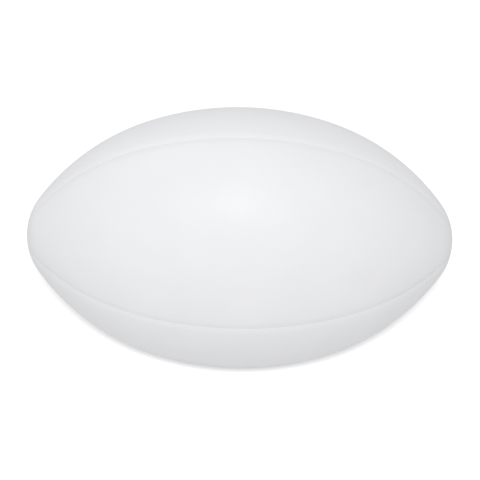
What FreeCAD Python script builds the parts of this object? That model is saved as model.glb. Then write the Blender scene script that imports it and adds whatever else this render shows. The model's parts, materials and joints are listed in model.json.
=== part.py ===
import FreeCAD, Part
import math
import os

import Sketcher

# Rugby ball: four stitched cover panels over a bladder with a needle valve.
#
# Frame: origin at the middle of the ball, +X along its long axis, +Z up, -Y to the front.
# Four seams run from tip to tip, at the rear, the top, the front and the bottom.
# Every layer follows one outline at its own depth under the outer surface. The outline is five
# tangent arcs: a nose, a shoulder, the belly, a shoulder and a nose. Layers share the arc centres.
# At each seam the layers turn inwards and lie against the next panel's layers, sewn through.

SIZES = {
    # outline, measured on the outer surface; the angles are where one arc meets the next,
    # from the middle plane
    "ball_radius": 91.7,
    "half_length": 150.0,
    "belly_radius": 204.6,
    "belly_angle": 18.7,
    "shoulder_angle": 53.3,
    # depths of the layers under the outer surface
    "cover_outer": 0.0,
    "cover_inner": 1.2,
    "ply_one_inner": 1.6,
    "ply_two_inner": 2.0,
    "patch_inner": 2.4,
    "bladder_outer": 2.45,
    "bladder_inner": 3.1,
    "flange_inner": 4.3,
    # turned-in seam edges
    "turn_in_depth": 7.0,
    "turn_in_end_angle": 65.0,
    "fold_radius": 0.9,
    "tip_trim_radius": 2.2,
    # stitching
    "stitch_depth": 4.6,
    "thread_end_angle": 54.5,
    "thread_width": 0.9,
    "thread_thickness": 0.55,
    "needle_hole_radius": 0.5,
    "belly_stitches": 19,
    "shoulder_stitches": 13,
    # clearance of the bladder round the seams
    "groove_depth": 7.35,
    "groove_half_width": 2.75,
    "groove_end_angle": 67.0,
    "cavity_end_angle": 68.0,
    # cutters start this far above the outer surface
    "above_surface": -1.0,
    # valve, on an axis square to the long axis
    "valve_turn": 315.0,
    "stem_radius": 4.2,
    "cover_hole_radius": 4.4,
    "mouth_depth": 0.5,
    "plug_face_depth": 0.7,
    "stem_end_depth": 20.0,
    "flange_radius": 15.0,
    "plug_radius": 2.9,
    "plug_head_radius": 3.5,
    "plug_head_depth": 2.2,
    "plug_end_depth": 17.0,
    "air_way_radius": 1.4,
    "air_way_end_depth": 21.0,
    "needle_inlet_radius": 1.25,
    "needle_inlet_end_depth": 14.0,
    "patch_hole_radius": 4.6,
    "valve_patch_radius": 17.0,
    # cloth discs inside the two tips
    "tip_patch_radius": 15.0,
}

PANEL_TURNS = {"rear_upper": 0, "front_upper": 90, "front_lower": 180, "rear_lower": 270}
SEAM_TURNS = {"rear": 0, "top": 90, "front": 180, "bottom": 270}
VALVE_PANEL = "rear_lower"
LAYERS = (
    ("cover_panel", "cover_outer", "cover_inner"),
    ("inner_ply", "cover_inner", "ply_one_inner"),
    ("lining_ply", "ply_one_inner", "ply_two_inner"),
)

X_AXIS = FreeCAD.Vector(1, 0, 0)
Z_AXIS = FreeCAD.Vector(0, 0, 1)
ORIGIN = FreeCAD.Vector(0, 0, 0)
RING_TURN = 360.0
QUARTER_TURN = 90.0

# a sketch's own axes, and the three places of an arc or a line that a constraint can hold
H_AXIS, V_AXIS = -1, -2
START, END, CENTRE = 1, 2, 3

# the two ends of a band: which arc of the outline, which end of it, and a name
BAND_ENDS = ((0, START, "near"), (-1, END, "far"))

# how a point is told to lie on a plane or an arc, and the points looked at along an edge
ON_SURFACE = 1e-5
EDGE_STEPS = 4

doc = FreeCAD.newDocument("RugbyBall")


def find_arc_centres():
    """Centres of the belly, shoulder and nose arcs that meet in tangents and end at half_length."""
    sin_one = math.sin(math.radians(SIZES["belly_angle"]))
    cos_one = math.cos(math.radians(SIZES["belly_angle"]))
    sin_two = math.sin(math.radians(SIZES["shoulder_angle"]))
    cos_two = math.cos(math.radians(SIZES["shoulder_angle"]))
    belly = SIZES["belly_radius"]
    drop = belly - SIZES["ball_radius"]
    reach = SIZES["half_length"] - belly - (sin_two - 1) * drop / cos_two
    first_step = reach / ((sin_one - 1) - (sin_two - 1) * cos_one / cos_two)
    second_step = (drop - first_step * cos_one) / cos_two
    shoulder_x = first_step * sin_one
    return {
        "belly_centre_y": -drop,
        "shoulder_centre_x": shoulder_x,
        "shoulder_centre_y": first_step * cos_one - drop,
        "nose_centre_x": shoulder_x + second_step * sin_two,
        "shoulder_radius": belly - first_step,
        "nose_radius": belly - first_step - second_step,
    }


def add_derived_sizes():
    """Sizes that follow from the driving ones."""
    SIZES.update(find_arc_centres())
    half_thread = SIZES["thread_width"] / 2
    SIZES["thread_outer"] = SIZES["stitch_depth"] - half_thread
    SIZES["thread_inner"] = SIZES["stitch_depth"] + half_thread
    SIZES["thread_radius"] = half_thread
    SIZES["seam_half_width"] = SIZES["ply_two_inner"]
    wall = SIZES["bladder_inner"] - SIZES["bladder_outer"]
    SIZES["cavity_half_width"] = SIZES["groove_half_width"] + wall
    SIZES["cavity_groove_depth"] = SIZES["groove_depth"] + wall
    for _, outer_name, inner_name in LAYERS:
        SIZES[f"{inner_name}_middle"] = (SIZES[outer_name] + SIZES[inner_name]) / 2
    shoulder_turn = SIZES["shoulder_angle"] - SIZES["belly_angle"]
    SIZES["shoulder_pitch"] = shoulder_turn / SIZES["shoulder_stitches"]


def make_sheet():
    """The spreadsheet that every feature reads."""
    sheet = doc.addObject("Spreadsheet::Sheet", "Sizes")
    for row, (alias, value) in enumerate(SIZES.items(), start=1):
        sheet.set(f"A{row}", alias)
        sheet.set(f"B{row}", str(value))
        sheet.setAlias(f"B{row}", alias)
    doc.recompute()


def bind(feature, size, expression):
    """Ties one size of a feature to the spreadsheet."""
    feature.setExpression(size, expression)


def add_body(name, turn=0.0):
    """A body turned about the long axis."""
    body = doc.addObject("PartDesign::Body", name)
    body.Label = name
    body.Placement = FreeCAD.Placement(ORIGIN, FreeCAD.Rotation(X_AXIS, turn))
    return body


def add_sketch(body, name, role="XY_Plane", offset=ORIGIN, turn=0.0):
    """A sketch on one of the body's own planes."""
    sketch = body.newObject("Sketcher::SketchObject", f"{body.Name}_{name}")
    plane = next(item for item in body.Origin.OriginFeatures if item.Role == role)
    sketch.AttachmentSupport = [(plane, "")]
    sketch.MapMode = "FlatFace"
    sketch.AttachmentOffset = FreeCAD.Placement(offset, FreeCAD.Rotation(Z_AXIS, turn))
    return sketch


def add_feature(body, kind, name, profile):
    """A PartDesign feature that is made from a sketch."""
    feature = body.newObject(f"PartDesign::{kind}", f"{body.Name}_{name}")
    feature.Profile = profile
    return feature


def constrain(sketch, kind, *places, name=None, expression=None):
    """One constraint, named and bound to the sheet where it carries a size."""
    index = sketch.addConstraint(Sketcher.Constraint(kind, *places))
    if name:
        sketch.renameConstraint(index, name)
        sketch.setExpression(f"Constraints.{name}", expression)


def start_arc(centre_x, centre_y, radius, first_angle, last_angle):
    """An arc in a sketch's plane, near enough to its place for the constraints to settle it."""
    circle = Part.Circle(FreeCAD.Vector(centre_x, centre_y, 0), Z_AXIS, radius)
    return Part.ArcOfCircle(circle, math.radians(first_angle), math.radians(last_angle))


def end_angle_at_trim(depth):
    """Angle from the middle plane at which the nose arc comes down to the trimmed tip."""
    radius = SIZES["nose_radius"] - depth
    return math.degrees(math.acos(SIZES["tip_trim_radius"] / radius))


def add_outline(sketch, depth_name, end_angle):
    """Five tangent arcs from the +X nose to the -X nose, at one depth. Returns the arcs."""
    depth = SIZES[depth_name]
    belly_join = SIZES["belly_angle"]
    shoulder_join = SIZES["shoulder_angle"]
    nose = (SIZES["nose_centre_x"], 0, SIZES["nose_radius"] - depth)
    shoulder = (SIZES["shoulder_centre_x"], SIZES["shoulder_centre_y"], SIZES["shoulder_radius"] - depth)
    belly = (0, SIZES["belly_centre_y"], SIZES["belly_radius"] - depth)
    up = QUARTER_TURN
    arcs = [
        start_arc(*nose, up - end_angle, up - shoulder_join),
        start_arc(*shoulder, up - shoulder_join, up - belly_join),
        start_arc(*belly, up - belly_join, up + belly_join),
        start_arc(-shoulder[0], *shoulder[1:], up + belly_join, up + shoulder_join),
        start_arc(-nose[0], *nose[1:], up + shoulder_join, up + end_angle),
    ]
    ids = list(sketch.addGeometry(arcs, False))
    near_nose, near_shoulder, middle, far_shoulder, far_nose = ids
    for arc, following in zip(ids, ids[1:]):
        constrain(sketch, "Tangent", arc, END, following, START)
    constrain(sketch, "PointOnObject", middle, CENTRE, V_AXIS)
    constrain(sketch, "DistanceY", H_AXIS, START, middle, CENTRE, belly[1],
              name=f"{depth_name}_belly_y", expression="Sizes.belly_centre_y")
    constrain(sketch, "Radius", middle, belly[2],
              name=f"{depth_name}_belly", expression=f"Sizes.belly_radius - Sizes.{depth_name}")
    constrain(sketch, "DistanceX", H_AXIS, START, near_shoulder, CENTRE, shoulder[0],
              name=f"{depth_name}_shoulder_x", expression="Sizes.shoulder_centre_x")
    constrain(sketch, "DistanceY", H_AXIS, START, near_shoulder, CENTRE, shoulder[1],
              name=f"{depth_name}_shoulder_y", expression="Sizes.shoulder_centre_y")
    constrain(sketch, "Symmetric", near_shoulder, CENTRE, far_shoulder, CENTRE, V_AXIS)
    constrain(sketch, "PointOnObject", near_nose, CENTRE, H_AXIS)
    constrain(sketch, "DistanceX", H_AXIS, START, near_nose, CENTRE, nose[0],
              name=f"{depth_name}_nose_x", expression="Sizes.nose_centre_x")
    constrain(sketch, "Symmetric", near_nose, CENTRE, far_nose, CENTRE, V_AXIS)
    return ids


def point_at(sketch, arc, position):
    """The start or the end of an arc."""
    geometry = sketch.Geometry[arc]
    return geometry.StartPoint if position == START else geometry.EndPoint


def join_ends(sketch, outer, inner, position):
    """A line from the end of one outline to the same end of the other."""
    first = point_at(sketch, outer, position)
    last = point_at(sketch, inner, position)
    line = sketch.addGeometry(Part.LineSegment(first, last), False)
    constrain(sketch, "Coincident", line, START, outer, position)
    constrain(sketch, "Coincident", line, END, inner, position)
    return line


def add_shell_band(sketch, outer_name, inner_name):
    """The section of a layer, from one trimmed tip to the other."""
    outer = add_outline(sketch, outer_name, end_angle_at_trim(SIZES[outer_name]))
    inner = add_outline(sketch, inner_name, end_angle_at_trim(SIZES[inner_name]))
    for end, position, label in BAND_ENDS:
        line = join_ends(sketch, outer[end], inner[end], position)
        constrain(sketch, "Horizontal", line)
        constrain(sketch, "DistanceY", H_AXIS, START, line, START, SIZES["tip_trim_radius"],
                  name=f"{label}_trim", expression="Sizes.tip_trim_radius")


def add_seam_band(sketch, outer_name, inner_name, end_name):
    """A strip along a seam, between two depths, that stops short of the tips on square ends."""
    outer = add_outline(sketch, outer_name, SIZES[end_name])
    inner = add_outline(sketch, inner_name, SIZES[end_name])
    height = (SIZES["nose_radius"] - SIZES[outer_name]) * math.cos(math.radians(SIZES[end_name]))
    for end, position, label in BAND_ENDS:
        line = join_ends(sketch, outer[end], inner[end], position)
        constrain(sketch, "PointOnObject", outer[end], CENTRE, line)
        constrain(sketch, "DistanceY", H_AXIS, START, line, START, height, name=f"{label}_end",
                  expression=f"(Sizes.nose_radius - Sizes.{outer_name}) * cos(Sizes.{end_name} * 1deg)")


def add_full_section(sketch, depth_name):
    """Everything between the outline at one depth and the long axis."""
    arcs = add_outline(sketch, depth_name, QUARTER_TURN)
    near = point_at(sketch, arcs[0], START)
    far = point_at(sketch, arcs[-1], END)
    axis_line = sketch.addGeometry(Part.LineSegment(near, far), False)
    constrain(sketch, "Coincident", axis_line, START, arcs[0], START)
    constrain(sketch, "Coincident", axis_line, END, arcs[-1], END)
    constrain(sketch, "PointOnObject", axis_line, START, H_AXIS)
    constrain(sketch, "PointOnObject", axis_line, END, H_AXIS)


def add_revolution(body, name, sketch, turn):
    """The sketch turned about the long axis, from +Y towards +Z."""
    feature = add_feature(body, "Revolution", name, sketch)
    feature.ReferenceAxis = (sketch, ["H_Axis"])
    feature.Angle = turn
    return feature


def add_trim(body, name, role, depth_name):
    """Cuts a quarter-shell back from the seam plane by the layers that lie outside it."""
    sketch = add_sketch(body, name, role)
    reach = 2 * SIZES["half_length"]
    corners = [(-reach, -reach), (reach, -reach), (reach, reach), (-reach, reach)]
    points = [FreeCAD.Vector(x, y, 0) for x, y in corners]
    lines = [Part.LineSegment(first, last) for first, last in zip(points, points[1:] + points[:1])]
    ids = list(sketch.addGeometry(lines, False))
    for line, following in zip(ids, ids[1:] + ids[:1]):
        constrain(sketch, "Coincident", line, END, following, START)
    pocket = add_feature(body, "Pocket", f"{name}_cut", sketch)
    pocket.Reversed = role == "XY_Plane"
    bind(pocket, "Length", f"Sizes.{depth_name}")


def add_turn_in(body, name, role, outer_name, inner_name):
    """The edge of a layer that turns inwards and lies along the seam plane."""
    inwards = 1 if role == "XY_Plane" else -1
    middle_name = f"{inner_name}_middle"
    offset = FreeCAD.Vector(0, 0, inwards * SIZES[outer_name])
    sketch = add_sketch(body, name, role, offset)
    bind(sketch, "AttachmentOffset.Base.z", f"{inwards} * Sizes.{outer_name}")
    add_seam_band(sketch, middle_name, "turn_in_depth", "turn_in_end_angle")
    pad = add_feature(body, "Pad", f"{name}_strip", sketch)
    pad.Reversed = role == "XZ_Plane"
    bind(pad, "Length", f"Sizes.{inner_name} - Sizes.{outer_name}")


def is_on_outer_surface(point):
    """True for a point on one of the outline's arcs, turned about the long axis."""
    height = math.hypot(point.y, point.z)
    length = abs(point.x)
    for centre_x, centre_y, radius in (
        (0, SIZES["belly_centre_y"], SIZES["belly_radius"]),
        (SIZES["shoulder_centre_x"], SIZES["shoulder_centre_y"], SIZES["shoulder_radius"]),
        (SIZES["nose_centre_x"], 0, SIZES["nose_radius"]),
    ):
        if abs(math.hypot(length - centre_x, height - centre_y) - radius) < ON_SURFACE:
            return True
    return False


def is_fold_edge(edge):
    """True for an edge on the outer surface that lies in one of the two seam planes."""
    first, last = edge.ParameterRange
    step = (last - first) / EDGE_STEPS
    points = [edge.valueAt(first + step * index) for index in range(EDGE_STEPS + 1)]
    in_lower_plane = all(abs(point.z) < ON_SURFACE for point in points)
    in_upper_plane = all(abs(point.y) < ON_SURFACE for point in points)
    return (in_lower_plane or in_upper_plane) and all(is_on_outer_surface(point) for point in points)


def round_folds(body):
    """Rounds the cover where it folds over into a seam."""
    doc.recompute()
    base = body.Tip
    edges = [f"Edge{i}" for i, edge in enumerate(base.Shape.Edges, start=1) if is_fold_edge(edge)]
    fillet = body.newObject("PartDesign::Fillet", f"{body.Name}_fold")
    fillet.Base = (base, edges)
    bind(fillet, "Radius", "Sizes.fold_radius")


def make_layer(name, turn, outer_name, inner_name):
    """One quarter of a layer, with its two edges turned in."""
    body = add_body(name, turn)
    section = add_sketch(body, "section")
    add_shell_band(section, outer_name, inner_name)
    add_revolution(body, "shell", section, QUARTER_TURN)
    if SIZES[outer_name] > 0:
        add_trim(body, "lower_trim", "XY_Plane", outer_name)
        add_trim(body, "upper_trim", "XZ_Plane", outer_name)
    add_turn_in(body, "lower_turn_in", "XY_Plane", outer_name, inner_name)
    add_turn_in(body, "upper_turn_in", "XZ_Plane", outer_name, inner_name)
    if SIZES[outer_name] == 0:
        round_folds(body)
    return body


def stitch_rows():
    """Each row's name, arc centre, arc radius, first stitch, turn and count, from +X to -X."""
    belly = SIZES["belly_angle"]
    shoulder = SIZES["shoulder_angle"]
    step = SIZES["shoulder_pitch"]
    count = SIZES["shoulder_stitches"]
    shoulder_x = SIZES["shoulder_centre_x"]
    shoulder_y = SIZES["shoulder_centre_y"]
    sweep = (count - 1) * step
    return (
        ("near", (shoulder_x, shoulder_y), "shoulder_radius", shoulder, sweep, count),
        ("belly", (0, SIZES["belly_centre_y"]), "belly_radius", belly, 2 * belly, SIZES["belly_stitches"]),
        ("far", (-shoulder_x, shoulder_y), "shoulder_radius", -belly - step, sweep, count),
    )


def add_stitch_pins(body, radius_name, length_expression):
    """Round pins through the seam plane at every stitch along the seam."""
    for name, centre, arc_name, first_turn, sweep, count in stitch_rows():
        offset = FreeCAD.Vector(*centre, 0)
        sketch = add_sketch(body, f"{name}_stitch", offset=offset, turn=-first_turn)
        reach = SIZES[arc_name] - SIZES["stitch_depth"]
        circle = Part.Circle(FreeCAD.Vector(0, reach, 0), Z_AXIS, SIZES[radius_name])
        hole = sketch.addGeometry(circle, False)
        constrain(sketch, "PointOnObject", hole, CENTRE, V_AXIS)
        constrain(sketch, "DistanceY", H_AXIS, START, hole, CENTRE, reach, name="reach",
                  expression=f"Sizes.{arc_name} - Sizes.stitch_depth")
        constrain(sketch, "Radius", hole, SIZES[radius_name], name="pin",
                  expression=f"Sizes.{radius_name}")
        pin = add_feature(body, "Pad", f"{name}_pin", sketch)
        pin.SideType = "Symmetric"
        bind(pin, "Length", length_expression)
        row = body.newObject("PartDesign::PolarPattern", f"{body.Name}_{name}_row")
        row.Originals = [pin]
        row.Axis = (sketch, ["N_Axis"])
        row.Angle = sweep
        row.Occurrences = count
        body.Tip = row


def make_needle_holes(name, turn):
    """The path of the needle through one seam's layers, one pin for each stitch."""
    body = add_body(name, turn)
    add_stitch_pins(body, "needle_hole_radius", "2 * Sizes.groove_half_width")
    return body


def make_thread(name, turn):
    """A seam's thread: a run along each side of the turned-in layers, crossing at every stitch."""
    body = add_body(name, turn)
    for label, side in (("upper", 1), ("lower", -1)):
        offset = FreeCAD.Vector(0, 0, side * SIZES["seam_half_width"])
        sketch = add_sketch(body, f"{label}_run", offset=offset)
        bind(sketch, "AttachmentOffset.Base.z", f"{side} * Sizes.seam_half_width")
        add_seam_band(sketch, "thread_outer", "thread_inner", "thread_end_angle")
        run = add_feature(body, "Pad", f"{label}_strand", sketch)
        run.Reversed = side < 0
        bind(run, "Length", "Sizes.thread_thickness")
    add_stitch_pins(body, "thread_radius", "2 * Sizes.seam_half_width + Sizes.thread_thickness")
    return body


def make_core(name, depth_name):
    """A solid of the ball's shape at one depth."""
    body = add_body(name)
    section = add_sketch(body, "section")
    add_full_section(section, depth_name)
    add_revolution(body, "solid", section, RING_TURN)
    return body


def make_grooved_core(name, depth_name, wall_expression, groove_depth_name, groove_end_name):
    """A core with a groove that clears each seam."""
    body = make_core(name, depth_name)
    sketch = add_sketch(body, "groove")
    add_seam_band(sketch, "above_surface", groove_depth_name, groove_end_name)
    groove = add_feature(body, "Pocket", "groove_cut", sketch)
    groove.SideType = "Symmetric"
    bind(groove, "Length", f"2 * {wall_expression}")
    ring = body.newObject("PartDesign::PolarPattern", f"{body.Name}_groove_ring")
    ring.Originals = [groove]
    ring.Axis = (sketch, ["H_Axis"])
    ring.Angle = RING_TURN
    ring.Occurrences = len(SEAM_TURNS)
    body.Tip = ring
    return body


def make_shell(name, turn, outer_name, inner_name):
    """A plain quarter of a layer."""
    body = add_body(name, turn)
    section = add_sketch(body, "section")
    add_shell_band(section, outer_name, inner_name)
    add_revolution(body, "shell", section, QUARTER_TURN)
    return body


def make_cylinder(name, radius_expression, length_expression, placement):
    """A cylinder that starts at the placement and follows its own Z."""
    cylinder = doc.addObject("Part::Cylinder", name)
    cylinder.Placement = placement
    bind(cylinder, "Radius", radius_expression)
    bind(cylinder, "Height", length_expression)
    return cylinder


def make_valve_cylinder(name, radius_expression, outer_depth_name, inner_depth_name):
    """A cylinder on the valve's axis between two depths."""
    turn = SIZES["valve_turn"]
    outwards = FreeCAD.Vector(0, math.cos(math.radians(turn)), math.sin(math.radians(turn)))
    base = outwards * (SIZES["ball_radius"] - SIZES[inner_depth_name])
    placement = FreeCAD.Placement(base, FreeCAD.Rotation(Z_AXIS, outwards))
    length = f"Sizes.{inner_depth_name} - Sizes.{outer_depth_name}"
    return make_cylinder(name, f"Sizes.{radius_expression}", length, placement)


def combine(kind, name, shapes):
    """A boolean: MultiFuse and Compound take any number of shapes, Cut and Common a base and a tool."""
    boolean = doc.addObject(f"Part::{kind}", name)
    boolean.Label = name
    if kind == "MultiFuse":
        boolean.Shapes = shapes
    elif kind == "Compound":
        boolean.Links = shapes
    else:
        boolean.Base, boolean.Tool = shapes
    return boolean


def make_seams():
    """The needle holes and the thread of each seam."""
    holes = [make_needle_holes(f"{name}_needle_holes", turn) for name, turn in SEAM_TURNS.items()]
    threads = [make_thread(f"{name}_seam_thread", turn) for name, turn in SEAM_TURNS.items()]
    return holes, threads


def make_panels(needle_holes):
    """Four panels, each a cover with two backing plies, pierced along both edges."""
    parts = []
    for index, (side, turn) in enumerate(PANEL_TURNS.items()):
        next_index = (index + 1) % len(needle_holes)
        for layer, outer_name, inner_name in LAYERS:
            name = f"{side}_{layer}"
            body = make_layer(f"{name}_blank", turn, outer_name, inner_name)
            cutters = [needle_holes[index], needle_holes[next_index]]
            if side == VALVE_PANEL:
                cutters.append(make_valve_cylinder(f"{name}_valve_hole", "cover_hole_radius",
                                                   "above_surface", "turn_in_depth"))
            tool = combine("Compound", f"{name}_holes", cutters)
            parts.append(combine("Cut", name, [body, tool]))
    return parts


def make_bladder():
    """The air bladder, a closed rubber skin that follows the lining round the seams."""
    outside = make_grooved_core("bladder_outside", "bladder_outer", "Sizes.groove_half_width",
                                "groove_depth", "groove_end_angle")
    inside = make_grooved_core("bladder_inside", "bladder_inner", "Sizes.cavity_half_width",
                               "cavity_groove_depth", "cavity_end_angle")
    stem = make_valve_cylinder("bladder_stem_hole", "stem_radius", "cover_outer", "stem_end_depth")
    room = combine("MultiFuse", "bladder_room", [inside, stem])
    return combine("Cut", "bladder", [outside, room])


def make_valve_housing():
    """The rubber stem with the flange that is bonded to the inside of the bladder."""
    stem = make_valve_cylinder("housing_stem", "stem_radius", "mouth_depth", "stem_end_depth")
    shell = make_shell("housing_shell", PANEL_TURNS[VALVE_PANEL], "bladder_inner", "flange_inner")
    disc = make_valve_cylinder("housing_disc", "flange_radius", "cover_outer", "stem_end_depth")
    flange = combine("Common", "housing_flange", [shell, disc])
    body = combine("MultiFuse", "housing_body", [stem, flange])
    head = make_valve_cylinder("plug_head_seat", "plug_head_radius", "cover_outer", "plug_head_depth")
    shank = make_valve_cylinder("plug_shank_seat", "plug_radius", "cover_outer", "plug_end_depth")
    air_way = make_valve_cylinder("air_way", "air_way_radius", "cover_outer", "air_way_end_depth")
    seat = combine("MultiFuse", "plug_seat", [head, shank, air_way])
    return combine("Cut", "valve_housing", [body, seat])


def make_valve_plug():
    """The soft plug that the needle goes through."""
    head = make_valve_cylinder("plug_head", "plug_head_radius", "plug_face_depth", "plug_head_depth")
    shank = make_valve_cylinder("plug_shank", "plug_radius", "plug_face_depth", "plug_end_depth")
    body = combine("MultiFuse", "plug_body", [head, shank])
    inlet = make_valve_cylinder("plug_inlet", "needle_inlet_radius", "cover_outer", "needle_inlet_end_depth")
    return combine("Cut", "valve_plug", [body, inlet])


def make_valve_patch():
    """The ring of cloth that strengthens the lining round the valve."""
    shell = make_shell("valve_patch_shell", PANEL_TURNS[VALVE_PANEL], "ply_two_inner", "patch_inner")
    disc = make_valve_cylinder("valve_patch_disc", "valve_patch_radius", "cover_outer", "turn_in_depth")
    hole = make_valve_cylinder("valve_patch_hole", "patch_hole_radius", "cover_outer", "turn_in_depth")
    ring = combine("Cut", "valve_patch_ring", [disc, hole])
    return combine("Common", "valve_patch", [shell, ring])


def make_tip_patches():
    """A cloth disc inside each tip, where the four panels meet."""
    parts = []
    for name, side in (("left_tip_patch", -1), ("right_tip_patch", 1)):
        outside = make_core(f"{name}_outside", "ply_two_inner")
        inside = make_core(f"{name}_inside", "patch_inner")
        shell = combine("Cut", f"{name}_shell", [outside, inside])
        placement = FreeCAD.Placement(ORIGIN, FreeCAD.Rotation(Z_AXIS, X_AXIS * side))
        disc = make_cylinder(f"{name}_disc", "Sizes.tip_patch_radius", "Sizes.half_length", placement)
        parts.append(combine("Common", name, [shell, disc]))
    return parts


def check_document(parts):
    """Stops on any object that failed, or any part that is empty or broken."""
    doc.recompute()
    for item in doc.Objects:
        if "Invalid" in item.State or "Error" in item.State:
            raise RuntimeError(f"{item.Name} did not recompute: {item.State}")
    for part in parts:
        if part.Shape.isNull() or not part.Shape.isValid() or len(part.Shape.Solids) != 1:
            raise RuntimeError(f"{part.Label} is not one valid solid")


def export_parts(parts):
    """One STEP file for each piece, named after it."""
    os.makedirs("parts", exist_ok=True)
    for part in parts:
        part.Shape.exportStep(f"parts/{part.Label}.step")
        print(f"{part.Label}: {part.Shape.Volume:.0f} mm3")


def main():
    add_derived_sizes()
    make_sheet()
    needle_holes, threads = make_seams()
    parts = make_panels(needle_holes) + threads
    parts += [make_bladder(), make_valve_housing(), make_valve_plug(), make_valve_patch()]
    parts += make_tip_patches()
    check_document(parts)
    export_parts(parts)


main()
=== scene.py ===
import json
import math

import bmesh
import bpy
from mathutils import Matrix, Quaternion, Vector


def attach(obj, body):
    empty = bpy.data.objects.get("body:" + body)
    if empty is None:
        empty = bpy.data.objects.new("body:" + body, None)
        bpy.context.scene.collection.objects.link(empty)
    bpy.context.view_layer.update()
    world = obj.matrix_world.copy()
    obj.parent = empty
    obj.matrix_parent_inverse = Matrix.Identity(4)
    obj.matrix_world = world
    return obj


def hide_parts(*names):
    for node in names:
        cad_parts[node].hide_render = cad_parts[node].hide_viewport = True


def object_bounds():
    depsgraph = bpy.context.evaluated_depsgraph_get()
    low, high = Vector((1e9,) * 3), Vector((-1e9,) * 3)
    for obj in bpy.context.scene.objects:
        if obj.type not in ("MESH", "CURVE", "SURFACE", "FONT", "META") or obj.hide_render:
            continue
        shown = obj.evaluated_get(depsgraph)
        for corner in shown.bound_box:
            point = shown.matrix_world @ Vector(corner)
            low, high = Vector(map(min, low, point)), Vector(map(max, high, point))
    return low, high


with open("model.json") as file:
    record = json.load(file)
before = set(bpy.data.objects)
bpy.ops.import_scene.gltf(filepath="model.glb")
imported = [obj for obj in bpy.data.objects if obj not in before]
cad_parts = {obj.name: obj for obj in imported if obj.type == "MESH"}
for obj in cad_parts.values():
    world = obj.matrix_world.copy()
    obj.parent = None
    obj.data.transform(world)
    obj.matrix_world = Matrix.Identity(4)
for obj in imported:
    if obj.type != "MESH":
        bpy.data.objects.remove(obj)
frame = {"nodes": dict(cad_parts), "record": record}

CAD_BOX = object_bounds()
QUARTER = math.pi / 2

# ---------------------------------------------------------------- sizes, in metres
# The outline is the CAD model's: a nose, a shoulder, the belly, a shoulder and a nose, all arcs.
BALL_RADIUS = 0.0917
HALF_LENGTH = 0.150
BELLY_RADIUS = 0.2046
# how far the outline's normal leans towards the tip where the belly ends and the shoulder ends
BELLY_ANGLE = math.radians(18.7)
SHOULDER_ANGLE = math.radians(53.3)

# the cover's wall and folds, and the turned-in edges, which taper off between two angles
COVER_WALL = 0.0012
FOLD_RADIUS = 0.00045
INNER_FOLD_RADIUS = 0.0003
TURN_IN_DEPTH = 0.0070
TURN_IN_END_ANGLE = math.radians(62)
TIP_EDGE_DEPTH = 0.0020
TIP_EDGE_ANGLE = math.radians(70)
TIP_HOLE_RADIUS = 0.00012
# the most that each may take of the distance from the long axis, which is small near a tip
WALL_SHARE = 0.35
FOLD_SHARE = 0.42
INNER_FOLD_SHARE = 0.10

# how the cover sinks towards a seam, with a faint pucker at each stitch; both fade away near
# the tips, within the fade radius of the long axis
SEAM_DIP = 0.00045
SEAM_DIP_WIDTH = 0.0028
DIP_FADE_RADIUS = 0.03
PUCKER = 0.00003
STITCH_PITCH = 0.0072

# the panels' mesh: rows along the ball, and columns across a panel from its turned-in strip,
# over the fold and the band beside the seam to the rest of its face
ROW_LENGTH = 0.0018
TURN_IN_COLUMNS = 4
FOLD_COLUMNS = 5
EDGE_COLUMNS = 8
FACE_COLUMNS = 48
PANEL_COLUMNS = 2 * (TURN_IN_COLUMNS + FOLD_COLUMNS + EDGE_COLUMNS) + FACE_COLUMNS + 1
# the band's width, and the most of a panel's face that it may take near a tip
EDGE_WIDTH = 0.0065
EDGE_SHARE = 0.2
# vertices closer than this are merged
SAME_PLACE = 1e-7

# each panel's first seam, in quarter turns from +Y towards +Z
PANEL_TURNS = {"rear_upper": 0, "front_upper": 1, "front_lower": 2, "rear_lower": 3}
VALVE_PANEL = "rear_lower"

# the valve's hole, in the middle of its panel: a rounded lip in a shallow dish
VALVE_TURN = QUARTER * (PANEL_TURNS[VALVE_PANEL] + 0.5)
VALVE_HOLE_RADIUS = 0.0044
VALVE_LIP = 0.0005
VALVE_LIP_STEPS = 4
VALVE_DISH = 0.0003
VALVE_DISH_WIDTH = 0.009
# rings round the hole replace this many rows and columns of quads to each side of it
VALVE_BLOCK_ROWS = 12
VALVE_BLOCK_COLUMNS = 6
VALVE_RINGS = 9

# the valve's housing and plug; depths are under the ball's outer surface, and the hidden
# rounding is for corners that other pieces cover
STEM_RADIUS = 0.0042
STEM_MOUTH_DEPTH = 0.0005
STEM_END_DEPTH = 0.0200
FLANGE_RADIUS = 0.0150
FLANGE_FACE_DEPTH = 0.0031
FLANGE_RIM_DEPTH = 0.0039
FLANGE_ROOT_RADIUS = 0.0060
FLANGE_ROOT_DEPTH = 0.0043
FLANGE_END_DEPTH = 0.0060
AIR_WAY_RADIUS = 0.0014
PLUG_RADIUS = 0.0029
PLUG_END_DEPTH = 0.0170
PLUG_HEAD_RADIUS = 0.0035
PLUG_HEAD_DEPTH = 0.0022
PLUG_FACE_DEPTH = 0.0007
INLET_RADIUS = 0.00125
INLET_END_DEPTH = 0.0140
INLET_MOUTH_RADIUS = 0.00185
INLET_MOUTH_DEPTH = 0.0012
HIDDEN_ROUNDING = 0.00005
TURNED_SIDES = 72
CORNER_STEPS = 5
SHARP_EDGE_ANGLE = math.radians(35)

# ---------------------------------------------------------------- colours, lights and camera
# the two ends of the cover's faint mottling, in colour and in gloss
COVER_DARK = (0.790, 0.793, 0.812)
COVER_LIGHT = (0.804, 0.807, 0.826)
COVER_ROUGHNESS = (0.36, 0.44)
# the thread's colour deep in the twist's grooves, darkened as painted shade, and on the strands' tops
THREAD_GROOVE_SHADE = (0.50, 0.46, 0.38)
THREAD_LIGHT = (0.78, 0.75, 0.67)

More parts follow.
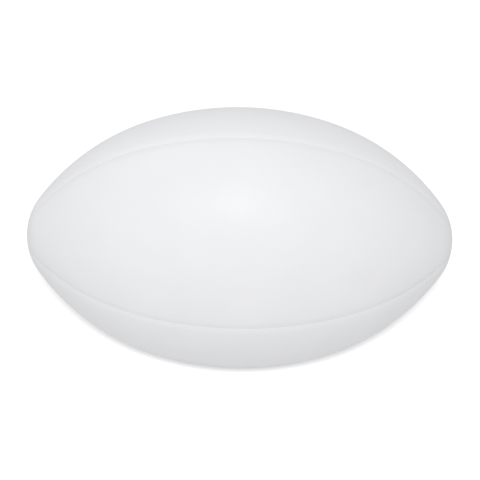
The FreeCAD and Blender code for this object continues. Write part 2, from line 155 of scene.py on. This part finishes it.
LIGHT_DISTANCE = 2.2
SWEEP_LIGHT_DISTANCE = 6.5
SWEEP_LIGHT_UP = math.radians(47.5)
SWEEP_LIGHT_SIZE = 1.1
SWEEP_LIGHT_POWER = 640.0
DOME_STRENGTH = 0.69
FLOOR_SIZE = 8.0
FLOOR_COLOUR = (0.65, 0.65, 0.65)
FLOOR_BOUNCE = 0.79

CAMERA_DISTANCE = 1.4815
CAMERA_TURN = math.radians(0.1)
CAMERA_ELEVATION = math.radians(42.5)
CAMERA_ROLL = math.radians(0.8)
CAMERA_LENS = 157.45
CAMERA_SHIFT = (0.0008, -0.0058)
SENSOR_WIDTH = 36.0
VIEW_DEPTH = 50.0


# ---------------------------------------------------------------- the outline
def find_arcs():
    """Centres and radii of the belly, shoulder and nose arcs."""
    sin_one, cos_one = math.sin(BELLY_ANGLE), math.cos(BELLY_ANGLE)
    sin_two, cos_two = math.sin(SHOULDER_ANGLE), math.cos(SHOULDER_ANGLE)
    drop = BELLY_RADIUS - BALL_RADIUS
    reach = HALF_LENGTH - BELLY_RADIUS - (sin_two - 1) * drop / cos_two
    first_step = reach / ((sin_one - 1) - (sin_two - 1) * cos_one / cos_two)
    second_step = (drop - first_step * cos_one) / cos_two
    shoulder_x = first_step * sin_one
    return {
        "belly": (0.0, -drop, BELLY_RADIUS),
        "shoulder": (shoulder_x, first_step * cos_one - drop, BELLY_RADIUS - first_step),
        "nose": (shoulder_x + second_step * sin_two, 0.0, BELLY_RADIUS - first_step - second_step),
    }


ARCS = find_arcs()


def arc_at(angle):
    """The arc that holds the outline's point whose normal leans by this angle towards the tip."""
    if angle <= BELLY_ANGLE:
        return ARCS["belly"]
    if angle <= SHOULDER_ANGLE:
        return ARCS["shoulder"]
    return ARCS["nose"]


def outline(angle, depth=0.0):
    """Distance along and from the long axis, at a depth under the outer surface."""
    centre_x, centre_y, radius = arc_at(abs(angle))
    along = centre_x + (radius - depth) * math.sin(abs(angle))
    return math.copysign(along, angle), centre_y + (radius - depth) * math.cos(angle)


def row_angles():
    """Normal angles of rows spaced evenly along the outline, from one tip to the other."""
    nose_radius = ARCS["nose"][2]
    last_angle = math.acos(TIP_HOLE_RADIUS / nose_radius)
    spans = [
        (0.0, BELLY_ANGLE, BELLY_RADIUS),
        (BELLY_ANGLE, SHOULDER_ANGLE, ARCS["shoulder"][2]),
        (SHOULDER_ANGLE, last_angle, nose_radius),
    ]
    half = [0.0]
    for first, last, radius in spans:
        count = math.ceil((last - first) * radius / ROW_LENGTH)
        half += [first + (last - first) * step / count for step in range(1, count + 1)]
    return [-angle for angle in reversed(half[1:])] + half


def point(angle, turn, depth):
    """A point at an angle along the ball and a turn round it, from +Y towards +Z."""
    along, height = outline(angle, depth)
    return Vector((along, height * math.cos(turn), height * math.sin(turn)))


def blend(value, low, high):
    """0 below low, 1 above high, and a smooth step between."""
    part = min(1.0, max(0.0, (value - low) / (high - low)))
    return part * part * (3 - 2 * part)


# ---------------------------------------------------------------- mesh helpers
def new_piece(name, vertices, faces):
    """A smooth-shaded mesh object that rides on the ball."""
    mesh = bpy.data.meshes.new(name)
    mesh.from_pydata(vertices, [], faces)
    mesh.validate()
    bm = bmesh.new()
    bm.from_mesh(mesh)
    bmesh.ops.remove_doubles(bm, verts=bm.verts, dist=SAME_PLACE)
    bmesh.ops.recalc_face_normals(bm, faces=bm.faces)
    bm.to_mesh(mesh)
    bm.free()
    mesh.polygons.foreach_set("use_smooth", [True] * len(mesh.polygons))
    piece = bpy.data.objects.new(name, mesh)
    bpy.context.collection.objects.link(piece)
    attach(piece, "root")
    return piece


# ---------------------------------------------------------------- cover panels
def seam_dip(distance, arc_place, height):
    """How far the cover sinks towards a seam, with a faint pucker at each stitch."""
    fade = min(1.0, height / DIP_FADE_RADIUS)
    pucker = PUCKER * math.cos(2 * math.pi * arc_place / STITCH_PITCH)
    return fade * (SEAM_DIP + pucker) * math.exp(-((distance / SEAM_DIP_WIDTH) ** 2))


def face_turns(first_turn, height):
    """Turns across a panel's face, packed close together beside each seam."""
    span = QUARTER - 2 * first_turn
    edge = min(EDGE_WIDTH / height, EDGE_SHARE * span)
    near = [first_turn + edge * step / EDGE_COLUMNS for step in range(EDGE_COLUMNS)]
    middle_span = span - 2 * edge
    middle = [first_turn + edge + middle_span * step / FACE_COLUMNS for step in range(FACE_COLUMNS + 1)]
    return near + middle + [QUARTER - turn for turn in reversed(near)]


def strip_columns(side, fold, wall, edge_depth):
    """(distance from the seam, depth) of each column up a turned-in strip and round its fold."""
    start = wall + fold
    columns = []
    for step in range(TURN_IN_COLUMNS):
        part = step / TURN_IN_COLUMNS
        columns.append((side, edge_depth + (start - edge_depth) * part))
    for step in range(FOLD_COLUMNS):
        lean = QUARTER * step / FOLD_COLUMNS
        columns.append((side + fold * (1 - math.cos(lean)), wall + fold * (1 - math.sin(lean))))
    return columns


def turn_at(distance, angle, depth):
    """The turn round the ball, from a seam, of a point that is a distance off the seam's plane."""
    return math.asin(min(1.0, distance / outline(angle, depth)[1]))


def section_columns(angle, arc_place, wall):
    """(turn, depth) of each column across a panel, for the outer face or, with a wall, the inner."""
    height = outline(angle)[1]
    side = min(wall, WALL_SHARE * height)
    fold = min(FOLD_RADIUS, FOLD_SHARE * height)
    if wall:
        fold = min(INNER_FOLD_RADIUS, INNER_FOLD_SHARE * height)
    taper = blend(abs(angle), TURN_IN_END_ANGLE, TIP_EDGE_ANGLE)
    edge_depth = TURN_IN_DEPTH + (TIP_EDGE_DEPTH - TURN_IN_DEPTH) * taper
    near = []
    for distance, depth in strip_columns(side, fold, wall, edge_depth):
        depth += seam_dip(distance, arc_place, height)
        near.append((turn_at(distance, angle, depth), depth))
    face = []
    for turn in face_turns(turn_at(side + fold, angle, wall), height):
        dip = seam_dip(turn * height, arc_place, height)
        dip += seam_dip((QUARTER - turn) * height, arc_place, height)
        face.append((turn, wall + dip))
    far = [(QUARTER - turn, depth) for turn, depth in reversed(near)]
    return near + face + far


def valve_dish(distance):
    """How far the cover sinks towards the valve."""
    return VALVE_DISH * math.exp(-((distance / VALVE_DISH_WIDTH) ** 2))


def valve_point(along, around, depth):
    """A point near the valve, by its distances along the ball and round it from the valve's axis."""
    angle = math.asin(along / BELLY_RADIUS)
    turn = VALVE_TURN + around / outline(angle)[1]
    return point(angle, turn, depth)


def add_ring(vertices, places, radius, share, depth):
    """Adds a ring round the valve, a share of the way in from places on a block's edge to a circle."""
    start = len(vertices)
    for along, around in places:
        distance = math.hypot(along, around)
        scale = 1 - share + share * radius / distance
        sink = depth + valve_dish(distance * scale)
        vertices.append(valve_point(along * scale, around * scale, sink))
    return range(start, len(vertices))


def bridge(faces, first, second, flip):
    """Quads between two loops of vertex indices."""
    count = len(first)
    for index in range(count):
        following = (index + 1) % count
        quad = (first[index], first[following], second[following], second[index])
        faces.append(tuple(reversed(quad)) if flip else quad)


def in_valve_block(row, column, rows):
    """True for a quad that the valve's rings replace."""
    from_row = row - rows // 2
    from_column = column - PANEL_COLUMNS // 2
    in_rows = -VALVE_BLOCK_ROWS <= from_row < VALVE_BLOCK_ROWS
    return in_rows and -VALVE_BLOCK_COLUMNS <= from_column < VALVE_BLOCK_COLUMNS


def block_corners(rows):
    """(row, column) of each vertex round the edge of the block that holds the valve."""
    row_middle = rows // 2
    column_middle = PANEL_COLUMNS // 2
    down = range(row_middle - VALVE_BLOCK_ROWS, row_middle + VALVE_BLOCK_ROWS)
    across = range(column_middle - VALVE_BLOCK_COLUMNS, column_middle + VALVE_BLOCK_COLUMNS)
    corners = [(row, across.start) for row in down]
    corners += [(down.stop, column) for column in across]
    corners += [(row + 1, across.stop) for row in reversed(down)]
    corners += [(down.start, column + 1) for column in reversed(across)]
    return corners


def add_face_rings(vertices, faces, angles, start, depth, radius):
    """Rings on one face, from the block's edge to a circle: the last one, and the edge's places."""
    loop = []
    places = []
    for row, column in block_corners(len(angles)):
        index = start + row * PANEL_COLUMNS + column
        loop.append(index)
        along, height = outline(angles[row])
        turn = math.atan2(vertices[index].z, vertices[index].y) % (4 * QUARTER)
        places.append((along, (turn - VALVE_TURN) * height))
    for ring in range(1, VALVE_RINGS + 1):
        share = math.sin(QUARTER * ring / VALVE_RINGS)
        inner = add_ring(vertices, places, radius, share, depth)
        bridge(faces, loop, inner, bool(start))
        loop = inner
    return loop, places


def add_valve_hole(vertices, faces, angles, layer):
    """Rings from the block's edge to the valve's hole on both faces, and the hole's rounded wall."""
    lip_radius = VALVE_HOLE_RADIUS + VALVE_LIP
    outer, places = add_face_rings(vertices, faces, angles, 0, 0.0, lip_radius)
    inner, _ = add_face_rings(vertices, faces, angles, layer, COVER_WALL, VALVE_HOLE_RADIUS)
    for step in range(1, VALVE_LIP_STEPS + 1):
        lean = QUARTER * step / VALVE_LIP_STEPS
        radius = VALVE_HOLE_RADIUS + VALVE_LIP * (1 - math.sin(lean))
        following = add_ring(vertices, places, radius, 1, VALVE_LIP * (1 - math.cos(lean)))
        bridge(faces, outer, following, False)
        outer = following
    bridge(faces, outer, inner, False)


def panel_vertices(angles, base_turn):
    """Rows of vertices over the outer face, then as many over the inner face."""
    vertices = []
    for wall in (0.0, COVER_WALL):
        arc_place = 0.0
        last_point = None
        for angle in angles:
            here = Vector(outline(angle))
            arc_place += (here - last_point).length if last_point else 0.0
            last_point = here
            for turn, depth in section_columns(angle, arc_place, wall):
                vertices.append(point(angle, base_turn + turn, depth))
    return vertices


def panel_faces(rows, has_valve):
    """Quads of both faces, of the strips between them along both edges, and of the two tips."""
    layer = rows * PANEL_COLUMNS
    faces = []
    for row in range(rows - 1):
        for column in range(PANEL_COLUMNS - 1):
            if has_valve and in_valve_block(row, column, rows):
                continue
            corner = row * PANEL_COLUMNS + column
            quad = (corner, corner + 1, corner + PANEL_COLUMNS + 1, corner + PANEL_COLUMNS)
            faces.append(quad)
            faces.append(tuple(layer + index for index in reversed(quad)))
        for edge in (0, PANEL_COLUMNS - 1):
            corner = row * PANEL_COLUMNS + edge
            following = corner + PANEL_COLUMNS
            faces.append((corner, following, layer + following, layer + corner))
    for row in (0, rows - 1):
        for column in range(PANEL_COLUMNS - 1):
            corner = row * PANEL_COLUMNS + column
            faces.append((corner, corner + 1, layer + corner + 1, layer + corner))
    return faces


def make_cover_panel(side, quarter):
    """A closed cover panel: outer face, rolled edges, turned-in strips and inner face."""
    angles = row_angles()
    has_valve = side == VALVE_PANEL
    vertices = panel_vertices(angles, quarter * QUARTER)
    faces = panel_faces(len(angles), has_valve)
    if has_valve:
        add_valve_hole(vertices, faces, angles, len(angles) * PANEL_COLUMNS)
    panel = new_piece(f"{side}_panel", vertices, faces)
    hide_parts(f"{side}_cover_panel")
    return panel


# ---------------------------------------------------------------- valve
def turned_point(radius, lean, depth):
    """A point on a ring round the valve's axis, whose depth follows the ball's surface."""
    along = radius * math.cos(lean)
    around = radius * math.sin(lean)
    drop = BELLY_RADIUS - math.sqrt(BELLY_RADIUS**2 - along**2)
    drop += BALL_RADIUS - math.sqrt(BALL_RADIUS**2 - around**2)
    outwards = Vector((0, math.cos(VALVE_TURN), math.sin(VALVE_TURN)))
    sideways = Vector((0, -outwards.z, outwards.y))
    return Vector((along, 0, 0)) + sideways * around + outwards * (BALL_RADIUS - depth - drop)


def round_corners(corners, closed):
    """A profile's corners, each (radius, depth, rounding), as points along soft curves."""
    points = []
    count = len(corners)
    for index, (radius, depth, rounding) in enumerate(corners):
        here = Vector((radius, depth))
        if not closed and index in (0, count - 1):
            points.append(here)
            continue
        before = Vector(corners[index - 1][:2])
        after = Vector(corners[(index + 1) % count][:2])
        first = here + (before - here).normalized() * rounding
        last = here + (after - here).normalized() * rounding
        for step in range(CORNER_STEPS + 1):
            part = step / CORNER_STEPS
            points.append(first * (1 - part) ** 2 + here * 2 * part * (1 - part) + last * part**2)
    return points


def make_turned_piece(name, corners, closed):
    """A piece turned about the valve's axis."""
    profile = round_corners(corners, closed)
    vertices = []
    for radius, depth in profile:
        for side in range(TURNED_SIDES):
            vertices.append(turned_point(radius, 2 * math.pi * side / TURNED_SIDES, depth))
    faces = []
    for ring in range(len(profile) if closed else len(profile) - 1):
        first = ring * TURNED_SIDES
        second = (ring + 1) % len(profile) * TURNED_SIDES
        bridge(faces, range(first, first + TURNED_SIDES), range(second, second + TURNED_SIDES), False)
    piece = new_piece(name, vertices, faces)
    piece.data.set_sharp_from_angle(angle=SHARP_EDGE_ANGLE)
    return piece


def make_stem():
    """The bonded stem with its flange, from its mouth round the outside and up the plug's seat."""
    # radius, depth and rounding of each corner
    stem = make_turned_piece("valve_stem", (
        (PLUG_HEAD_RADIUS, STEM_MOUTH_DEPTH, 0.00025),
        (STEM_RADIUS, STEM_MOUTH_DEPTH, 0.00030),
        (STEM_RADIUS, FLANGE_FACE_DEPTH, HIDDEN_ROUNDING),
        (FLANGE_RADIUS, FLANGE_FACE_DEPTH, 0.00020),
        (FLANGE_RADIUS, FLANGE_RIM_DEPTH, 0.00030),
        (FLANGE_ROOT_RADIUS, FLANGE_ROOT_DEPTH, 0.00080),
        (STEM_RADIUS, FLANGE_END_DEPTH, 0.00080),
        (STEM_RADIUS, STEM_END_DEPTH, 0.00060),
        (AIR_WAY_RADIUS, STEM_END_DEPTH, 0.00030),
        (AIR_WAY_RADIUS, PLUG_END_DEPTH, HIDDEN_ROUNDING),
        (PLUG_RADIUS, PLUG_END_DEPTH, HIDDEN_ROUNDING),
        (PLUG_RADIUS, PLUG_HEAD_DEPTH, HIDDEN_ROUNDING),
        (PLUG_HEAD_RADIUS, PLUG_HEAD_DEPTH, HIDDEN_ROUNDING),
    ), True)
    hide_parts("valve_housing")
    return stem


def make_plug():
    """The soft plug that takes the needle, from the bottom of its blind hole round to its end."""
    # radius, depth and rounding of each corner
    plug = make_turned_piece("needle_plug", (
        (0.0, INLET_END_DEPTH, 0.0),
        (INLET_RADIUS, INLET_END_DEPTH, 0.00040),
        (INLET_RADIUS, INLET_MOUTH_DEPTH, 0.00030),
        (INLET_MOUTH_RADIUS, PLUG_FACE_DEPTH, 0.00030),
        (PLUG_HEAD_RADIUS, PLUG_FACE_DEPTH, 0.00035),
        (PLUG_HEAD_RADIUS, PLUG_HEAD_DEPTH, HIDDEN_ROUNDING),
        (PLUG_RADIUS, PLUG_HEAD_DEPTH, HIDDEN_ROUNDING),
        (PLUG_RADIUS, PLUG_END_DEPTH, 0.00040),
        (0.0, PLUG_END_DEPTH, 0.0),
    ), False)
    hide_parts("valve_plug")
    return plug


# ---------------------------------------------------------------- materials
def new_material(name):
    """An empty material, and what its nodes are added to."""
    material = bpy.data.materials.new(name)
    material.use_nodes = True
    nodes = material.node_tree.nodes
    return material, nodes, material.node_tree.links, nodes["Principled BSDF"]


def add_noise(nodes, links, place, scale, detail):
    """A noise texture, returned as its factor."""
    noise = nodes.new("ShaderNodeTexNoise")
    noise.inputs["Scale"].default_value = scale
    noise.inputs["Detail"].default_value = detail
    links.new(place, noise.inputs["Vector"])
    return noise.outputs["Fac"]


def add_ramp(nodes, links, factor, *stops):
    """A colour ramp of (position, colour) stops."""
    ramp = nodes.new("ShaderNodeValToRGB")
    elements = ramp.color_ramp.elements
    while len(elements) < len(stops):
        elements.new(1.0)
    for element, (position, colour) in zip(elements, stops):
        element.position = position
        element.color = (*colour, 1)
    links.new(factor, ramp.inputs["Fac"])
    return ramp.outputs["Color"]


def add_range(nodes, links, value, low, high):
    """A factor from 0 to 1, spread between a low and a high value."""
    spread = nodes.new("ShaderNodeMapRange")
    spread.inputs["To Min"].default_value = low
    spread.inputs["To Max"].default_value = high
    links.new(value, spread.inputs["Value"])
    return spread.outputs["Result"]


def add_bump(nodes, links, shader, height, strength, distance):
    """Fine relief on the shader's normal."""
    bump = nodes.new("ShaderNodeBump")
    bump.inputs["Strength"].default_value = strength
    bump.inputs["Distance"].default_value = distance
    links.new(height, bump.inputs["Height"])
    links.new(bump.outputs["Normal"], shader.inputs["Normal"])


def add_math(nodes, links, operation, first, second=None):
    """A Math node of one or two values, each a socket or a number."""
    node = nodes.new("ShaderNodeMath")
    node.operation = operation
    for index, value in enumerate((first, second)):
        if isinstance(value, (int, float)):
            node.inputs[index].default_value = value
        elif value is not None:
            links.new(value, node.inputs[index])
    return node.outputs[0]


def make_cover_material():
    """Smooth white rubber: faint mottling, a fine grain and slightly uneven gloss."""
    material, nodes, links, shader = new_material("white_cover_rubber")
    place = nodes.new("ShaderNodeTexCoord").outputs["Object"]
    mottle = add_noise(nodes, links, place, scale=38.0, detail=4.0)
    grain = add_noise(nodes, links, place, scale=1900.0, detail=3.0)
    tint = add_ramp(nodes, links, mottle, (0.3, COVER_DARK), (0.7, COVER_LIGHT))
    links.new(tint, shader.inputs["Base Color"])
    links.new(add_range(nodes, links, mottle, *COVER_ROUGHNESS), shader.inputs["Roughness"])
    add_bump(nodes, links, shader, grain, strength=0.12, distance=0.00006)
    shader.inputs["Specular IOR Level"].default_value = 0.45
    return material


def make_cloth_material(name, pitch, painted_gap_shade, yarn, coat_roughness):
    """Plain woven cloth whose yarns run along the ball and round it, soaked with latex; its colour
    darkens into the gaps between the yarns as painted shade.
    """
    material, nodes, links, shader = new_material(name)
    place = nodes.new("ShaderNodeTexCoord").outputs["Object"]
    split = nodes.new("ShaderNodeSeparateXYZ")
    links.new(place, split.inputs[0])
    turn = add_math(nodes, links, "ARCTAN2", split.outputs["Z"], split.outputs["Y"])
    wave = math.pi / pitch
    warp = add_math(nodes, links, "SINE", add_math(nodes, links, "MULTIPLY", split.outputs["X"], wave))
    weft = add_math(nodes, links, "SINE", add_math(nodes, links, "MULTIPLY", turn, wave * BALL_RADIUS))
    crossing = add_math(nodes, links, "MULTIPLY", warp, weft)
    over = add_math(nodes, links, "GREATER_THAN", crossing, 0.0)
    under = add_math(nodes, links, "SUBTRACT", 1.0, over)
    warp_yarn = add_math(nodes, links, "MULTIPLY", over, add_math(nodes, links, "ABSOLUTE", warp))
    weft_yarn = add_math(nodes, links, "MULTIPLY", under, add_math(nodes, links, "ABSOLUTE", weft))
    height = add_math(nodes, links, "ADD", warp_yarn, weft_yarn)
    stain = add_noise(nodes, links, place, scale=60.0, detail=5.0)
    shade = add_math(nodes, links, "MULTIPLY", height, add_range(nodes, links, stain, low=0.7, high=1.1))
    # the colour runs from painted shade in the gaps between the yarns up to the yarns' own colour on
    # their tops, under the stain's uneven tone
    links.new(add_ramp(nodes, links, shade, (0.1, painted_gap_shade), (0.9, yarn)), shader.inputs["Base Color"])
    links.new(add_range(nodes, links, stain, low=coat_roughness, high=0.85), shader.inputs["Roughness"])
    add_bump(nodes, links, shader, height, strength=0.6, distance=0.00015)
    shader.inputs["Sheen Weight"].default_value = 0.15
    return material


def make_thread_material():
    """Waxed thread: a diagonal twist with painted shade in its grooves, and an uneven waxy gloss."""
    material, nodes, links, shader = new_material("waxed_thread")
    place = nodes.new("ShaderNodeTexCoord").outputs["Object"]
    twist = nodes.new("ShaderNodeTexWave")
    twist.bands_direction = "DIAGONAL"
    twist.inputs["Scale"].default_value = 420.0
    twist.inputs["Distortion"].default_value = 1.5
    links.new(place, twist.inputs["Vector"])
    wax = add_noise(nodes, links, place, scale=240.0, detail=4.0)
    # the colour darkens into the twist's grooves as painted shade between the strands
    tint = add_ramp(nodes, links, twist.outputs["Fac"], (0.1, THREAD_GROOVE_SHADE), (0.8, THREAD_LIGHT))
    links.new(tint, shader.inputs["Base Color"])
    links.new(add_range(nodes, links, wax, low=0.35, high=0.7), shader.inputs["Roughness"])
    add_bump(nodes, links, shader, twist.outputs["Fac"], strength=0.7, distance=0.0002)
    return material


def make_rubber_material(name, dark, light, roughness, grain_scale):
    """Moulded rubber with a dusty bloom and a fine grain."""
    material, nodes, links, shader = new_material(name)
    place = nodes.new("ShaderNodeTexCoord").outputs["Object"]
    bloom = add_noise(nodes, links, place, scale=70.0, detail=6.0)
    grain = add_noise(nodes, links, place, scale=grain_scale, detail=3.0)
    links.new(add_ramp(nodes, links, bloom, (0.35, dark), (0.75, light)), shader.inputs["Base Color"])
    links.new(add_range(nodes, links, bloom, *roughness), shader.inputs["Roughness"])
    add_bump(nodes, links, shader, grain, strength=0.2, distance=0.0001)
    return material


def make_materials():
    """One material for each of the record's slots."""
    # each pair runs from the painted shade in the gaps between the yarns to the yarns' own colour
    latex = ((0.40, 0.36, 0.28), (0.69, 0.65, 0.56))
    cotton = ((0.33, 0.28, 0.21), (0.61, 0.56, 0.46))
    return {
        "cover": make_cover_material(),
        "backing_cloth": make_cloth_material("latex_backed_cloth", 0.0007, *latex, 0.45),
        "patch_cloth": make_cloth_material("glued_patch_cloth", 0.0009, *cotton, 0.6),
        "seam_thread": make_thread_material(),
        "bladder_rubber": make_rubber_material(
            "dusted_butyl", (0.016, 0.016, 0.018), (0.10, 0.10, 0.10), (0.55, 0.8), 900.0),
        "valve_rubber": make_rubber_material(
            "moulded_valve_rubber", (0.56, 0.56, 0.57), (0.66, 0.66, 0.67), (0.42, 0.55), 1600.0),
        "plug_rubber": make_rubber_material(
            "soft_plug_rubber", (0.40, 0.40, 0.42), (0.50, 0.50, 0.52), (0.3, 0.45), 1200.0),
    }


def dress_nodes(materials):
    """Gives every CAD piece the material of its slot."""
    for subpart in frame["record"]["subparts"]:
        node = frame["nodes"][subpart["node"]]
        for slot in node.material_slots:
            slot.material = materials[subpart["material_slot"]]


# ---------------------------------------------------------------- stage, lights, camera
def make_floor_material():
    """A pale sweep for the camera. All it throws up on to the ball is one even glow."""
    material, nodes, links, shader = new_material("studio_floor")
    shader.inputs["Base Color"].default_value = (*FLOOR_COLOUR, 1)
    shader.inputs["Roughness"].default_value = 0.9
    shader.inputs["Specular IOR Level"].default_value = 0.0
    bounce = nodes.new("ShaderNodeEmission")
    bounce.inputs["Strength"].default_value = FLOOR_BOUNCE
    path = nodes.new("ShaderNodeLightPath")
    choice = nodes.new("ShaderNodeMixShader")
    links.new(path.outputs["Is Camera Ray"], choice.inputs["Fac"])
    links.new(bounce.outputs[0], choice.inputs[1])
    links.new(shader.outputs[0], choice.inputs[2])
    links.new(choice.outputs[0], nodes["Material Output"].inputs["Surface"])
    return material


def make_floor():
    """The floor that the ball lies on."""
    low = CAD_BOX[0][2]
    half = FLOOR_SIZE / 2
    corners = [(x * half, y * half, low) for x, y in ((-1, -1), (1, -1), (1, 1), (-1, 1))]
    mesh = bpy.data.meshes.new("floor")
    mesh.from_pydata(corners, [], [(0, 1, 2, 3)])
    floor = bpy.data.objects.new("floor", mesh)
    mesh.materials.append(make_floor_material())
    bpy.context.collection.objects.link(floor)
    # the ball's gloss shows the even dome, not the floor
    floor.visible_glossy = False
    return floor


def make_area_light(name, around, up, size, power, distance=LIGHT_DISTANCE):
    """A square softbox aimed at the ball, by its angles round from the front and up."""
    level = math.cos(up)
    away = Vector((math.sin(around) * level, -math.cos(around) * level, math.sin(up)))
    data = bpy.data.lights.new(name, "AREA")
    data.shape = "SQUARE"
    data.size = size
    data.energy = power
    light = bpy.data.objects.new(name, data)
    light.location = away * distance
    light.rotation_euler = (-away).to_track_quat("-Z", "Y").to_euler()
    light.visible_camera = False
    bpy.context.collection.objects.link(light)
    return light


def link_to_floor(light, floor, state):
    """Makes a light reach only the floor, or everything but the floor."""
    group = bpy.data.collections.new(f"{light.name}_receivers")
    group.objects.link(floor)
    group.collection_objects[0].light_linking.link_state = state
    light.light_linking.receiver_collection = group


def make_lights(floor):
    """Softboxes for the ball alone, one for the floor alone, and a white dome over both."""
    # name, degrees round from the front, degrees up, size, power, and whether the gloss shows it
    softboxes = (
        ("front_fill", 0, 42, 0.9, 9.1, False),
        ("high_softbox", 0, 71, 0.55, 7.7, True),
        ("left_fill", -30, 25, 0.9, 2.6, False),
        ("rear_left_softbox", -140, 42, 0.9, 2.2, True),
        ("rear_softbox", 180, 60, 0.9, 2.1, True),
    )
    for name, around, up, size, power, seen in softboxes:
        light = make_area_light(name, math.radians(around), math.radians(up), size, power)
        light.visible_glossy = seen
        link_to_floor(light, floor, "EXCLUDE")
    sweep_light = make_area_light("sweep_softbox", 0, SWEEP_LIGHT_UP, SWEEP_LIGHT_SIZE,
                                  SWEEP_LIGHT_POWER, SWEEP_LIGHT_DISTANCE)
    link_to_floor(sweep_light, floor, "INCLUDE")
    world = bpy.data.worlds.new("studio")
    world.use_nodes = True
    background = world.node_tree.nodes["Background"]
    background.inputs["Color"].default_value = (1, 1, 1, 1)
    background.inputs["Strength"].default_value = DOME_STRENGTH
    bpy.context.scene.world = world


def make_camera():
    """A long lens looking down on the ball, almost square to its long axis."""
    data = bpy.data.cameras.new("camera")
    data.sensor_width = SENSOR_WIDTH
    data.lens = CAMERA_LENS
    data.shift_x, data.shift_y = CAMERA_SHIFT
    data.clip_end = VIEW_DEPTH
    camera = bpy.data.objects.new("camera", data)
    level = math.cos(CAMERA_ELEVATION)
    sideways = math.sin(CAMERA_TURN) * level
    away = Vector((sideways, -math.cos(CAMERA_TURN) * level, math.sin(CAMERA_ELEVATION)))
    camera.location = away * CAMERA_DISTANCE
    aim = (-away).to_track_quat("-Z", "Y")
    camera.rotation_euler = (aim @ Quaternion((0, 0, 1), CAMERA_ROLL)).to_euler()
    bpy.context.collection.objects.link(camera)
    bpy.context.scene.camera = camera


# ---------------------------------------------------------------- assembly
def main():
    """The whole scene: the stage, then the materials, then the new pieces."""
    make_camera()
    make_lights(make_floor())
    materials = make_materials()
    dress_nodes(materials)
    for side, quarter in PANEL_TURNS.items():
        make_cover_panel(side, quarter).data.materials.append(materials["cover"])
    make_stem().data.materials.append(materials["valve_rubber"])
    make_plug().data.materials.append(materials["plug_rubber"])
    bpy.context.scene.view_settings.view_transform = "Standard"


main()
